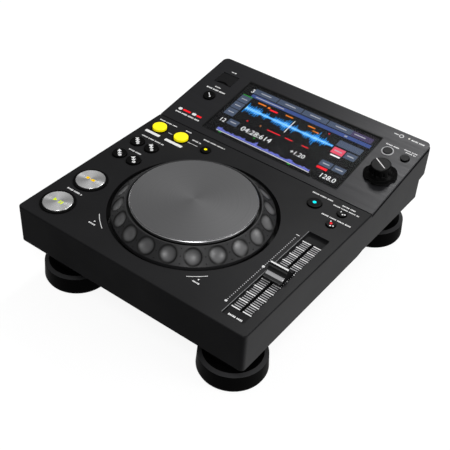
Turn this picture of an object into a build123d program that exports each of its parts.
from build123d import *
import math
import os

os.makedirs("parts", exist_ok=True)

# Tabletop DJ media player, in millimetres.
# +X is the player's right, +Y points to the rear and +Z is up. The origin is at the
# middle of the case in plan, on the surface that the rubber pads stand on.
# "up" is a height above the deck's top face, or above the tilted head's top face.

# Clearances
SLIDE_GAP = 0.3        # between a key, a lid or a cap and the edge round it
REST_GAP = 0.15        # between faces that nearly touch at rest
RUNNING_GAP = 0.04     # radial, between a shaft and its bearing
SEAT_GAP = 0.02        # radial, between a pressed or glued piece and its seat
STOP_GAP = 0.1         # left over when a key is fully pressed

# Case walls
WALL = 2.5
FRONT_CORNER_R = 4.0
REAR_CORNER_R = 6.5
EDGE_R = 1.4
FLOOR_T = 3.0

# Jog wheel
JOG_HOLE_R = 75.0
JOG_RING_R = 71.2
JOG_RING_TOP = 11.9
JOG_RING_INNER_R = 57.2
JOG_RING_FLAT = 2.0
JOG_RING_SKIRT_UP = 0.3
JOG_RING_SKIRT_DEPTH = 3.2
JOG_RING_SKIRT_T = 2.2
JOG_RING_CHAMFER = 1.0
JOG_RING_T = 3.4
DIMPLES = 20
DIMPLE_R = 7.9
DIMPLE_DEPTH = 2.2
DIMPLE_START = 2.0
JOG_PLATE_R = 55.1
JOG_PLATE_TOP = 14.0
JOG_PLATE_T = 4.3
JOG_PLATE_EDGE_R = 0.5
JOG_PLATE_CHAMFER = 1.0
JOG_PRESS = 0.5
JOG_SHAFT_R = 4.0
JOG_SHOULDER_T = 2.0
BEARING_T = 2.5
BEARING_L = 5.0
TOWER_WALL = 3.0
TOWER_GAP = 0.7
TOWER_DROP = 4.0
HUB_T = 3.0
HUB_UP = 1.7
HUB_TUBE_T = 3.8
HUB_COLLAR_T = 3.0
JOG_BASE_DEPTH = 20.8
JOG_BASE_T = 2.5
JOG_WALL_GAP = 0.4
JOG_GEAR_R = 48.0
JOG_GEAR_TEETH = 96
ENCODER_GEAR_TEETH = 24
GEAR_T = 3.0
GEAR_BACKLASH = 0.3
GEAR_DEPTH = 8.3
ENCODER_ANGLE = 45.0
ENCODER_PIN_R = 2.0
ENCODER_COLLAR_T = 2.0
ENCODER_BOX = 14.0
ENCODER_GEAR_GAP = 1.2
PRESS_POST_R = 5.0
SENSOR_RIM_GAP = 5.2
SENSOR_W = 12.0
SENSOR_GAP = 0.2

# Round keys: cap radius and height above the face
TRANSPORT_R = 13.3
TRANSPORT_UP = 1.8
TRANSPORT_RING_T = 2.2
TRANSPORT_RING_UP = 1.0
CUE_KEY_R = 7.0
CUE_KEY_UP = 1.6
LOOP_R = 7.0
LOOP_UP = 3.0
LOOP_RING_T = 0.8
LOOP_RING_UP = 0.8
RELOOP_R = 5.2
VINYL_R = 6.8
TEMPO_KEY_R = 4.6
SMALL_KEY_UP = 1.5
STOP_KEY_R = 6.2
BACK_KEY_R = 4.6
BACK_RING_T = 0.9
BACK_RING_UP = 0.7
TAG_KEY_R = 4.3
KEY_TRAVEL = 0.5
TRANSPORT_TRAVEL = 1.2
KEY_LIP = 1.2
KEY_LIP_T = 1.2
KEY_STEM_R = 1.6
KEY_CROWN_R = 0.5

# Key boards and switches
KEY_BOARD_DEPTH = 11.3
BOARD_T = 1.6
SWITCH_W = 6.0
SWITCH_H = 3.6
PLUNGER_R = 1.7
PLUNGER_H = 5.0
POST_R = 2.2
EDGE_POST = 3.0
LEFT_BOARD_EDGE = 1.5
LEFT_BOARD_JOG_GAP = 1.1
KEY_BOARD_FRONT = 11.0
KEY_BOARD_REAR = 11.3
WING_FRONT = 8.0
WING_END = 7.0
VINYL_BOARD_EDGE = 8.0
TEMPO_BOARD_EDGE = 14.5
MASTER_BOARD_EDGE = 7.5
RANGE_BOARD_EDGE = 8.7
STOP_BOARD_W = 24.0
STOP_BOARD_L = 20.0
BACK_BOARD_EDGE = 4.8
TAG_BOARD_EDGE = 5.1
KNOB_BOARD_FRONT = 12.8
BACK_POST_SHIFT = 2.0

# Tempo fader
FADER_TRAVEL = 50.0
FADER_CAP_W = 17.3
FADER_CAP_L = 21.2
FADER_CAP_TOP = 9.7
FADER_CAP_BOTTOM = -1.0
FADER_CAP_SIDE_H = 2.6
FADER_RIDGE_W = 2.6
FADER_RECESS_W = 20.4
FADER_FRONT_CLEAR = 1.4
FADER_REAR_CLEAR = 0.5
FADER_DEPTH_FRONT = 1.5
FADER_DEPTH_REAR = 3.3
FADER_TRAY_T = 3.5
FADER_FLANGE = 3.0
FADER_FLANGE_T = 2.6
LEVER_W = 2.4
LEVER_T = 1.2
LEVER_IN_CAP = 5.5
CARRIAGE_END_GAP = 0.5
SLOT_W = 2.0
CARRIAGE_W = 9.0
CARRIAGE_L = 12.0
CARRIAGE_H = 8.8
FADER_BODY_WALL = 1.5
RECESS_CORNER_R = 1.5

# Head: screen, panel, hatch and selector
HEAD_TILT = 9.53
PANEL_T = 2.2
PANEL_SPACER_T = 0.8
PANEL_INSET = 0.9
PANEL_SPACER_INSET = 2.0
HEAD_RIM = 5.0
HEAD_REAR_RIM = 3.5
SCREEN_W = 154.5
SCREEN_L = 82.1
GLASS_T = 0.8
GLASS_DOWN = 0.9
GLASS_CORNER_R = 1.5
MODULE_MARGIN = 3.5
MODULE_T = 5.0
BRACKET_T = 1.2
HATCH_W = 19.6
HATCH_L = 15.0
HATCH_T = 2.0
HATCH_PROUD = 0.1
HATCH_CORNER_R = 2.0
HATCH_SCOOP_W = 15.0
HATCH_SCOOP_L = 3.0
HATCH_SCOOP_T = 1.4
HATCH_PIN_R = 0.6
HATCH_PIN_GRIP = 2.0
WELL_DEPTH = 9.5
WELL_WALL = 1.5
WELL_FLANGE = 2.2
WELL_FLANGE_T = 1.2
WELL_REAR_GAP = 1.5
USB_A_W = 13.2
USB_A_T = 5.8
USB_A_DEPTH = 14.0
USB_A_S = -1.4
USB_A_PROUD = 0.5
USB_A_BACK_T = 2.0
USB_A_LIP = 1.0
USB_WALL = 0.4
TONGUE_T = 1.8
TONGUE_SIDE = 1.0
TONGUE_LOW = 0.9
TONGUE_SHORT = 1.5
KNOB_SKIRT_R = 15.6
KNOB_SKIRT_T = 1.2
KNOB_SKIRT_EDGE = 0.5
KNOB_FLARE = 1.6
KNOB_FLARE_UP = 0.8
KNOB_WAIST_R = 10.5
KNOB_TOP_R = 8.8
KNOB_FLUTES = 12
KNOB_FLUTE_R = 1.5
KNOB_FLUTE_OUT = 0.4
KNOB_FLUTE_UP = 1.0
KNOB_NOTCHES = 4
KNOB_NOTCH_R = 5.0
KNOB_NOTCH_DEPTH = 2.0
KNOB_NOTCH_START = 75.0
KNOB_EDGE = 0.4
KNOB_CROWN = 0.6
KNOB_LOW = 1.0
KNOB_SHOULDER = 5.0
KNOB_TOP = 13.5
KNOB_TOP_T = 2.0
KNOB_RECESS_T = 1.5
KNOB_RECESS_DEPTH = 2.0
SELECTOR_SHAFT_R = 3.0
SELECTOR_BOX = 12.0
SELECTOR_BOX_H = 6.0
BUSHING_WALL = 1.0
SELECTOR_FLOOR_T = 0.4
ROTOR_UP = 1.2
ROTOR_R = 4.8
ROTOR_T = 2.6
ROTOR_SQUARE = 3.6
LIGHT_R = 1.0
LIGHT_PROUD = 0.1
LIGHT_FLANGE = 0.8
LIGHT_FLANGE_T = 1.0

# Rear wall and connectors
STANDOFF_H = 4.1
STANDOFF_R = 3.0
LAN_H = 13.5
LAN_W = 16.0
LAN_L = 21.0
LAN_MOUTH_W = 11.8
LAN_MOUTH_H = 8.0
LAN_MOUTH_UP = 2.0
LAN_MOUTH_DEPTH = 14.0
LAN_LATCH_W = 6.4
LAN_LATCH_H = 2.0
CONNECTOR_PROUD = 0.5
USB_B_W = 12.0
USB_B_H = 11.0
USB_B_L = 16.0
USB_B_MOUTH_W = 8.5
USB_B_MOUTH_H = 7.8
USB_B_MOUTH_UP = 1.6
USB_B_MOUTH_DEPTH = 10.0
USB_B_TONGUE_W = 5.6
USB_B_TONGUE_H = 3.2
USB_B_TONGUE_UP = 3.9
USB_B_TONGUE_SHORT = 1.5
JACK_R = 4.9
JACK_PITCH = 16.0
JACK_OUT = 8.0
JACK_BLOCK_L = 10.0
JACK_BLOCK_EDGE = 7.0
JACK_BLOCK_UP = 6.0
JACK_NOSE_STEP = 0.7
JACK_NOSE_L = 2.0
JACK_BORE_R = 1.7
JACK_BACK_T = 2.0
JACK_UP = 7.0
INLET_W = 20.0
INLET_H = 13.0
INLET_L = 18.5
INLET_FLANGE = 3.0
INLET_FLANGE_T = 1.6
INLET_PIN_R = 1.2
INLET_PIN_PITCH = 8.6
INLET_WELL_R = 4.1
INLET_NECK = 0.8
INLET_FLANGE_UP = 1.2
INLET_BACK_T = 2.5
INLET_PIN_ROOT = 1.0
INLET_PIN_SET_IN = 2.0
POWER_KEY_W = 12.0
POWER_KEY_H = 8.0
POWER_KEY_OUT = 3.0
POWER_KEY_TRAVEL = 2.0
POWER_KEY_EDGE_R = 0.8
POWER_KEY_UP = 6.5
POWER_STEM_L = 6.0
POWER_STEM_W = 4.0
POWER_SWITCH_W = 8.0
POWER_SWITCH_L = 12.0
POWER_SWITCH_UP = 3.0
POWER_PLUNGER_R = 1.5
POWER_PLUNGER_L = 2.0
REAR_WALL_T = 2.2
REAR_WALL_INSET = 9.45
WEDGE_INSET = 0.8
WALL_HEAD_ROOM = 1.34

# Boards on the floor, and what stands on them
BOARD_MARGIN = 10.0
BOARD_FRONT_GAP = 2.1
BOARD_REAR_GAP = 0.5
BOARD_GAP = 8.0
POWER_BOARD_W = 78.3
STANDOFF_EDGE = 6.0
PART_FRONT = 12.0
TRANSFORMER_W = 30.0
TRANSFORMER_L = 32.0
TRANSFORMER_H = 16.0
TRANSFORMER_EDGE = 6.3
CAPACITOR_R = 8.0
CAPACITOR_H = 15.0
CAPACITOR_EDGE = 16.0
SPREADER_W = 40.0
SPREADER_L = 35.0
SPREADER_H = 6.0
SPREADER_EDGE = 60.3

# Feet
FOOT_R = 30.8
FOOT_TOP_R = 29.9
FOOT_BEVEL_R = 25.9
FOOT_DISC_H = 20.2
FOOT_BEVEL_H = 1.5
FOOT_EDGE_R = 3.0
FOOT_NECK_R = 20.0
FOOT_H = 46.5
PAD_T = 1.2
PAD_R = 26.0
FOOT_SIDE_INSET = 1.9
FOOT_FRONT_INSET = 4.05
FOOT_REAR_INSET = 0.35
FOOT_SCREW_R = 2.5
SCREW_HEAD_R = 5.0
SCREW_HEAD_H = 2.4
CASE_SCREW_R = 1.5
CASE_SCREW_HEAD_R = 3.0
PILLAR_R = 3.3
RIB_T = 1.6
SCREW_GRIP = 10.0
FOOT_SCREW_L = 15.0
FOOT_HOLE_L = 16.0
PILLAR_FRONT_GAP = 2.8
PILLAR_MID_GAP = 2.1
PILLAR_HEAD_GAP = 12.1
PILLAR_REAR_GAP = 7.5
PILLAR_FRONT_SIDE = 58.3
PILLAR_MID_PITCH = 40.0

# Layout along each row of the deck and the head, from edge to edge
TRANSPORT_MARGIN = 8.0
TRANSPORT_JOG_GAP = 6.0
JOG_FADER_GAP = 16.2
FADER_MARGIN = 9.9
HATCH_MARGIN = 13.8
HATCH_SCREEN_GAP = 11.9
SCREEN_KNOB_GAP = 6.7
KNOB_MARGIN = 4.4
TRANSPORT_FRONT = 9.35
CUE_PITCH = 40.4
SEARCH_PITCH = 47.2
TRACK_PITCH = 25.0
LOOP_PITCH = 30.8
LOOP_HEAD_GAP = 19.3
JOG_FRONT = 16.35
JOG_HEAD_GAP = 21.5
FADER_FRONT = 10.95
MASTER_GAP = 19.1
RANGE_PITCH = 18.0
RANGE_HEAD_GAP = 16.7
BACKWARD_MARGIN = 15.5
FORWARD_MARGIN = 32.6
LOOP_IN_MARGIN = 16.8
LOOP_OUT_MARGIN = 43.2
RELOOP_MARGIN = 72.9
VINYL_MARGIN = 47.6
TEMPO_KEY_MARGIN = 21.0
STOP_MARGIN = 24.1
BACK_MARGIN = 30.0
TAG_MARGIN = 11.9
LIGHT_MARGIN = 21.7
LIGHT_REAR = 6.5
HATCH_UP = 79.0
STOP_UP = 49.2
KNOB_UP = 46.8
BACK_UP = 77.3
INLET_MARGIN = 36.3
POWER_KEY_MARGIN = 68.3
USB_B_MARGIN = 114.3
LAN_MARGIN = 84.3
JACKS_MARGIN = 38.3
SCREEN_FRONT = 8.5
SCREEN_REAR = 18.96
DECK_H = 38.0
UNDERCUT_SETBACK = 14.9

TRANSPORT_RING_R = TRANSPORT_R + SLIDE_GAP + TRANSPORT_RING_T
FADER_RECESS_L = 2 * FADER_TRAVEL + FADER_CAP_L + FADER_FRONT_CLEAR + FADER_REAR_CLEAR
DECK_ROW = (TRANSPORT_MARGIN + 2 * TRANSPORT_RING_R + TRANSPORT_JOG_GAP + 2 * JOG_HOLE_R
            + JOG_FADER_GAP + FADER_RECESS_W + FADER_MARGIN)
HEAD_ROW = (HATCH_MARGIN + HATCH_W + HATCH_SCREEN_GAP + SCREEN_W + SCREEN_KNOB_GAP
            + 2 * KNOB_SKIRT_R + KNOB_MARGIN)
KEY_COLUMN = (TRANSPORT_FRONT + TRANSPORT_RING_R + CUE_PITCH + SEARCH_PITCH + TRACK_PITCH
              + LOOP_PITCH + LOOP_HEAD_GAP)
JOG_COLUMN = JOG_FRONT + 2 * JOG_HOLE_R + JOG_HEAD_GAP
FADER_COLUMN = FADER_FRONT + FADER_RECESS_L + MASTER_GAP + RANGE_PITCH + RANGE_HEAD_GAP
CASE_W = max(DECK_ROW, HEAD_ROW)
DECK_D = max(KEY_COLUMN, JOG_COLUMN, FADER_COLUMN)
TILT = math.radians(HEAD_TILT)
GEAR_MODULE = 2 * JOG_GEAR_R / JOG_GEAR_TEETH
SENSOR_OUT_R = JOG_RING_INNER_R - SENSOR_RIM_GAP
SENSOR_IN_R = SENSOR_OUT_R - SENSOR_W
HEAD_SLOPE = SCREEN_FRONT + SCREEN_L + SCREEN_REAR
CASE_D = DECK_D + HEAD_SLOPE * math.cos(TILT)

LEFT = -CASE_W / 2
RIGHT = CASE_W / 2
FRONT = -CASE_D / 2
REAR = CASE_D / 2
HEAD_Y = FRONT + DECK_D
CASE_BOTTOM = FOOT_H
DECK_TOP = CASE_BOTTOM + DECK_H
FLOOR_TOP = CASE_BOTTOM + FLOOR_T
BOARD_TOP = FLOOR_TOP + STANDOFF_H + BOARD_T
PANEL_DEPTH = PANEL_T + PANEL_SPACER_T
REAR_WALL_Y = REAR - REAR_WALL_INSET
REAR_WALL_TOP = BOARD_TOP + LAN_H + WALL_HEAD_ROOM
UNDERCUT_Y = HEAD_Y - UNDERCUT_SETBACK
UNDERCUT_SLOPE = (REAR_WALL_TOP - CASE_BOTTOM) / (REAR_WALL_Y - UNDERCUT_Y)
LIP_Y = REAR_WALL_Y - REAR_WALL_T - SLIDE_GAP

DECK = Plane(origin=(0, 0, DECK_TOP))
HEAD = Plane(
    origin=(0, HEAD_Y, DECK_TOP),
    x_dir=(1, 0, 0),
    z_dir=(0, -math.sin(TILT), math.cos(TILT)),
)

# Centres on the deck (x, y) and on the head (x, distance up the slope)
TRANSPORT_X = LEFT + TRANSPORT_MARGIN + TRANSPORT_RING_R
PLAY_Y = FRONT + TRANSPORT_FRONT + TRANSPORT_RING_R
CUE_Y = PLAY_Y + CUE_PITCH
SEARCH_Y = CUE_Y + SEARCH_PITCH
TRACK_Y = SEARCH_Y + TRACK_PITCH
BACKWARD_X = LEFT + BACKWARD_MARGIN
FORWARD_X = LEFT + FORWARD_MARGIN
LOOP_Y = HEAD_Y - LOOP_HEAD_GAP
LOOP_IN_X = LEFT + LOOP_IN_MARGIN
LOOP_OUT_X = LEFT + LOOP_OUT_MARGIN
RELOOP_X = LEFT + RELOOP_MARGIN
VINYL_X = RIGHT - VINYL_MARGIN
TEMPO_KEY_X = RIGHT - TEMPO_KEY_MARGIN
RANGE_Y = HEAD_Y - RANGE_HEAD_GAP
MASTER_Y = RANGE_Y - RANGE_PITCH
JOG_X = LEFT + TRANSPORT_MARGIN + 2 * TRANSPORT_RING_R + TRANSPORT_JOG_GAP + JOG_HOLE_R
JOG_Y = FRONT + JOG_FRONT + JOG_HOLE_R
FADER_X = RIGHT - FADER_MARGIN - FADER_RECESS_W / 2
FADER_Y = FRONT + FADER_FRONT + FADER_FRONT_CLEAR + FADER_CAP_L / 2 + FADER_TRAVEL
HATCH_X = LEFT + HATCH_MARGIN + HATCH_W / 2
HATCH_S = HATCH_UP
STOP_X = LEFT + STOP_MARGIN
STOP_S = STOP_UP
SCREEN_X = LEFT + HATCH_MARGIN + HATCH_W + HATCH_SCREEN_GAP + SCREEN_W / 2
SCREEN_S = SCREEN_FRONT + SCREEN_L / 2
KNOB_X = RIGHT - KNOB_MARGIN - KNOB_SKIRT_R
KNOB_S = KNOB_UP
BACK_X = RIGHT - BACK_MARGIN
TAG_X = RIGHT - TAG_MARGIN
BACK_S = BACK_UP
LIGHT_X = RIGHT - LIGHT_MARGIN
LIGHT_S = HEAD_SLOPE - LIGHT_REAR

DECK_KEYS = {
    "play_button": (TRANSPORT_X, PLAY_Y, TRANSPORT_R, TRANSPORT_UP, TRANSPORT_TRAVEL),
    "cue_button": (TRANSPORT_X, CUE_Y, TRANSPORT_R, TRANSPORT_UP, TRANSPORT_TRAVEL),
    "search_back_button": (BACKWARD_X, SEARCH_Y, CUE_KEY_R, CUE_KEY_UP, KEY_TRAVEL),
    "search_forward_button": (FORWARD_X, SEARCH_Y, CUE_KEY_R, CUE_KEY_UP, KEY_TRAVEL),
    "track_back_button": (BACKWARD_X, TRACK_Y, CUE_KEY_R, CUE_KEY_UP, KEY_TRAVEL),
    "track_forward_button": (FORWARD_X, TRACK_Y, CUE_KEY_R, CUE_KEY_UP, KEY_TRAVEL),
    "loop_in_button": (LOOP_IN_X, LOOP_Y, LOOP_R, LOOP_UP, KEY_TRAVEL),
    "loop_out_button": (LOOP_OUT_X, LOOP_Y, LOOP_R, LOOP_UP, KEY_TRAVEL),
    "reloop_button": (RELOOP_X, LOOP_Y, RELOOP_R, SMALL_KEY_UP, KEY_TRAVEL),
    "vinyl_button": (VINYL_X, LOOP_Y, VINYL_R, SMALL_KEY_UP, KEY_TRAVEL),
    "tempo_range_button": (TEMPO_KEY_X, RANGE_Y, TEMPO_KEY_R, SMALL_KEY_UP, KEY_TRAVEL),
    "master_tempo_button": (TEMPO_KEY_X, MASTER_Y, TEMPO_KEY_R, SMALL_KEY_UP, KEY_TRAVEL),
}
HEAD_KEYS = {
    "usb_stop_button": (STOP_X, STOP_S, STOP_KEY_R, SMALL_KEY_UP, KEY_TRAVEL),
    "back_button": (BACK_X, BACK_S, BACK_KEY_R, SMALL_KEY_UP, KEY_TRAVEL),
    "tag_button": (TAG_X, BACK_S, TAG_KEY_R, SMALL_KEY_UP, KEY_TRAVEL),
}
RINGS = {
    "play_button": (TRANSPORT_RING_T, TRANSPORT_RING_UP),
    "cue_button": (TRANSPORT_RING_T, TRANSPORT_RING_UP),
    "loop_in_button": (LOOP_RING_T, LOOP_RING_UP),
    "loop_out_button": (LOOP_RING_T, LOOP_RING_UP),
    "back_button": (BACK_RING_T, BACK_RING_UP),
}


def slab(x, y, z):
    """A box from three (low, high) pairs."""
    size = (x[1] - x[0], y[1] - y[0], z[1] - z[0])
    return Pos((x[0] + x[1]) / 2, (y[0] + y[1]) / 2, (z[0] + z[1]) / 2) * Box(*size)


def disc(radius, low, high):
    """A cylinder about the Z axis between two heights."""
    return Pos(0, 0, (low + high) / 2) * Cylinder(radius, high - low)


def ring(outer, inner, low, high):
    """A plain ring about the Z axis."""
    return disc(outer, low, high) - disc(inner, low - 1, high + 1)


def rounded_slab(width, length, radius, low, high):
    """A plate with rounded vertical corners, centred on the Z axis."""
    return Pos(0, 0, low) * extrude(RectangleRounded(width, length, radius), amount=high - low)


def side_prism(outline, low_x, high_x):
    """An outline in (y, z), extruded along X."""
    face = make_face(Plane.YZ * Polyline(*outline, close=True))
    return Pos(low_x, 0, 0) * extrude(face, amount=high_x - low_x, dir=(1, 0, 0))


def turned(outline):
    """An outline in (radius, z), turned about the Z axis."""
    return revolve(make_face(Plane.XZ * Polyline(*outline, close=True)), Axis.Z)


def head_z(y, up):
    """Height of the plane that lies a given distance above the head's face."""
    return DECK_TOP + (y - HEAD_Y) * math.tan(TILT) + up / math.cos(TILT)


def undercut_z(y):
    """Height of the rising underside behind the undercut line."""
    return CASE_BOTTOM + (y - UNDERCUT_Y) * UNDERCUT_SLOPE


def save(name, shape):
    export_step(shape, f"parts/{name}.step")


# Key boards hang from posts under the faces. Each pair holds a low and a high edge.
LEFT_BOARD_X = (LEFT + WALL + LEFT_BOARD_EDGE,
                JOG_X - JOG_HOLE_R - JOG_WALL_GAP - WALL - LEFT_BOARD_JOG_GAP)
LEFT_BOARD_Y = (PLAY_Y - KEY_BOARD_FRONT, LOOP_Y + KEY_BOARD_REAR)
LEFT_WING_X = (LEFT_BOARD_X[1], RELOOP_X + WING_END)
LEFT_WING_Y = (LOOP_Y - WING_FRONT, LEFT_BOARD_Y[1])
RIGHT_BOARD_X = (VINYL_X - VINYL_BOARD_EDGE, TEMPO_KEY_X + TEMPO_BOARD_EDGE)
RIGHT_BOARD_Y = (MASTER_Y - MASTER_BOARD_EDGE, RANGE_Y + RANGE_BOARD_EDGE)
STOP_BOARD_X = (STOP_X - STOP_BOARD_W / 2, STOP_X + STOP_BOARD_W / 2)
STOP_BOARD_S = (STOP_S - STOP_BOARD_L / 2, STOP_S + STOP_BOARD_L / 2)
KNOB_BOARD_X = (BACK_X - BACK_BOARD_EDGE, TAG_X + TAG_BOARD_EDGE)
KNOB_BOARD_S = (KNOB_S - KNOB_BOARD_FRONT, BACK_S + RANGE_BOARD_EDGE)

DECK_POSTS = [(x, y)
              for x in (LEFT_BOARD_X[0] + EDGE_POST, LEFT_BOARD_X[1] - EDGE_POST)
              for y in ((PLAY_Y + CUE_Y) / 2, (CUE_Y + SEARCH_Y) / 2, (TRACK_Y + LOOP_Y) / 2)]
DECK_POSTS += [
    ((LOOP_OUT_X + RELOOP_X) / 2, LOOP_Y),
    ((VINYL_X + TEMPO_KEY_X) / 2, RANGE_Y),
    ((VINYL_X + TEMPO_KEY_X) / 2, MASTER_Y),
    (RIGHT_BOARD_X[0] + EDGE_POST, MASTER_Y),
    (RIGHT_BOARD_X[1] - EDGE_POST, (MASTER_Y + RANGE_Y) / 2),
]
HEAD_POSTS = [
    (STOP_BOARD_X[0] + EDGE_POST, STOP_BOARD_S[1] - EDGE_POST),
    (STOP_BOARD_X[1] - EDGE_POST, STOP_BOARD_S[0] + EDGE_POST),
    (KNOB_BOARD_X[0] + EDGE_POST, KNOB_BOARD_S[0] + EDGE_POST),
    (KNOB_BOARD_X[1] - EDGE_POST, KNOB_BOARD_S[0] + EDGE_POST),
    (KNOB_BOARD_X[0] + EDGE_POST, (KNOB_S + BACK_S) / 2),
    (KNOB_BOARD_X[1] - EDGE_POST, (KNOB_S + BACK_S) / 2 + BACK_POST_SHIFT),
]

# Pillars that the case screws grip, inside the shell
PILLAR_SIDE_X = RIGHT - max(WALL, WEDGE_INSET + REAR_WALL_T) - PILLAR_R - REST_GAP
PILLARS = [(x, FRONT + WALL + PILLAR_R + PILLAR_FRONT_GAP)
           for x in (LEFT + PILLAR_FRONT_SIDE, RIGHT - PILLAR_FRONT_SIDE)]
PILLARS += [(x, HEAD_Y - WALL - PILLAR_R - PILLAR_MID_GAP)
            for x in (-PILLAR_MID_PITCH / 2, PILLAR_MID_PITCH / 2)]
PILLARS += [(x, HEAD_Y + PILLAR_HEAD_GAP) for x in (-PILLAR_SIDE_X, PILLAR_SIDE_X)]
PILLARS += [(x, REAR_WALL_Y - PILLAR_REAR_GAP) for x in (-PILLAR_SIDE_X, PILLAR_SIDE_X)]

FEET = [(x, y)
        for x in (LEFT + FOOT_SIDE_INSET + FOOT_R, RIGHT - FOOT_SIDE_INSET - FOOT_R)
        for y in (FRONT + FOOT_FRONT_INSET + FOOT_R, REAR - FOOT_REAR_INSET - FOOT_R)]


def key_hole(name, radius, skin):
    """The hole that a key, or the ring round it, needs in a face of this thickness."""
    hole = radius + SLIDE_GAP
    if name in RINGS:
        hole = radius + SLIDE_GAP + RINGS[name][0] + SEAT_GAP
    return disc(hole, -skin - 1, 1)


def round_key(radius, up, travel, skin):
    """A key with a retaining lip under the face and a stem above its switch."""
    lip_top = -skin - REST_GAP
    stem_end = -KEY_BOARD_DEPTH + PLUNGER_H + travel + STOP_GAP
    cap = disc(radius, lip_top - KEY_LIP_T, up)
    cap = fillet(cap.edges().sort_by(Axis.Z)[-1], KEY_CROWN_R)
    lip = disc(radius + KEY_LIP, lip_top - KEY_LIP_T, lip_top)
    stem = disc(KEY_STEM_R, stem_end, lip_top)
    return cap + lip + stem


def key_ring(name, radius, skin):
    """The bezel ring in the face round a key."""
    width, up = RINGS[name]
    return ring(radius + SLIDE_GAP + width, radius + SLIDE_GAP, -skin, up)


def switch():
    """A tact switch on the key board."""
    body = slab((-SWITCH_W / 2, SWITCH_W / 2), (-SWITCH_W / 2, SWITCH_W / 2),
                (-KEY_BOARD_DEPTH, -KEY_BOARD_DEPTH + SWITCH_H))
    return body + disc(PLUNGER_R, -KEY_BOARD_DEPTH, -KEY_BOARD_DEPTH + PLUNGER_H)


def fader_recess(clearance, low, high):
    """The long rounded block that fills the fader's recess, at a clearance."""
    width = FADER_RECESS_W - 2 * clearance
    length = FADER_RECESS_L - 2 * clearance
    middle = FRONT + FADER_FRONT + FADER_RECESS_L / 2
    block = rounded_slab(width, length, RECESS_CORNER_R, low, high)
    return Pos(FADER_X, middle, 0) * block


def upper_shell():
    """The deck, the side walls, the front and the head's rim, open underneath."""
    below = CASE_BOTTOM - 5
    outline = [
        (FRONT, CASE_BOTTOM),
        (FRONT, DECK_TOP),
        (HEAD_Y, DECK_TOP),
        (HEAD_Y, head_z(HEAD_Y, -PANEL_DEPTH)),
        (REAR, head_z(REAR, -PANEL_DEPTH)),
        (REAR, undercut_z(REAR)),
        (UNDERCUT_Y, CASE_BOTTOM),
    ]
    shell = side_prism(outline, LEFT, RIGHT)
    for end, radius in ((FRONT, FRONT_CORNER_R), (REAR, REAR_CORNER_R)):
        corners = [e for e in shell.edges().filter_by(Axis.Z) if abs(e.center().Y - end) < WALL]
        shell = fillet(corners, radius)
    rim = [e for e in shell.edges()
           if abs(e.bounding_box().min.Z - DECK_TOP) < 0.01
           and abs(e.bounding_box().max.Z - DECK_TOP) < 0.01
           and e.center().Y < HEAD_Y - 1]
    shell = fillet(rim, EDGE_R)

    step_y = HEAD_Y - WALL
    head_under = -PANEL_DEPTH - WALL
    cavity_outline = [
        (FRONT + WALL, below),
        (FRONT + WALL, DECK_TOP - WALL),
        (step_y, DECK_TOP - WALL),
        (step_y, head_z(step_y, head_under)),
        (REAR - WALL, head_z(REAR - WALL, head_under)),
        (REAR - WALL, undercut_z(REAR - WALL) + WALL),
        (LIP_Y, undercut_z(LIP_Y) + WALL),
        (LIP_Y, below),
    ]
    cavity = side_prism(cavity_outline, LEFT + WALL, RIGHT - WALL)
    for end, radius in ((FRONT + WALL, FRONT_CORNER_R), (REAR - WALL, REAR_CORNER_R)):
        inner_corners = [e for e in cavity.edges().filter_by(Axis.Z)
                         if abs(e.center().Y - end) < 0.01]
        cavity = fillet(inner_corners, radius - WALL)
    shell = shell - cavity

    window = slab((LEFT + HEAD_RIM, RIGHT - HEAD_RIM), (HEAD_RIM, HEAD_SLOPE - HEAD_REAR_RIM),
                  (head_under - 4.0, -PANEL_DEPTH + 1))
    shell = shell - HEAD * window
    for x, y in PILLARS:
        top = DECK_TOP - WALL + 0.5
        if y > HEAD_Y:
            top = head_z(y, -PANEL_DEPTH - 1.0)
            rib_x = sorted((x, math.copysign(RIGHT - WALL + 0.5, x)))
            shell = shell + slab(rib_x, (y - RIB_T / 2, y + RIB_T / 2), (undercut_z(y) + 1, top))
        shell = shell + Pos(x, y, 0) * disc(PILLAR_R, FLOOR_TOP, top)
        shell = shell - Pos(x, y, 0) * disc(CASE_SCREW_R + SEAT_GAP, FLOOR_TOP - 1,
                                            FLOOR_TOP + SCREW_GRIP)
    for x, y in DECK_POSTS:
        shell = shell + DECK * Pos(x, y, 0) * disc(POST_R, -KEY_BOARD_DEPTH, -WALL)
    for name, (x, y, radius, up, travel) in DECK_KEYS.items():
        shell = shell - DECK * Pos(x, y, 0) * key_hole(name, radius, WALL)
    shell = shell - DECK * Pos(JOG_X, JOG_Y, 0) * disc(JOG_HOLE_R, -WALL - 1, 1)
    return shell - DECK * fader_recess(0, -WALL - 1, 1)


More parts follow.
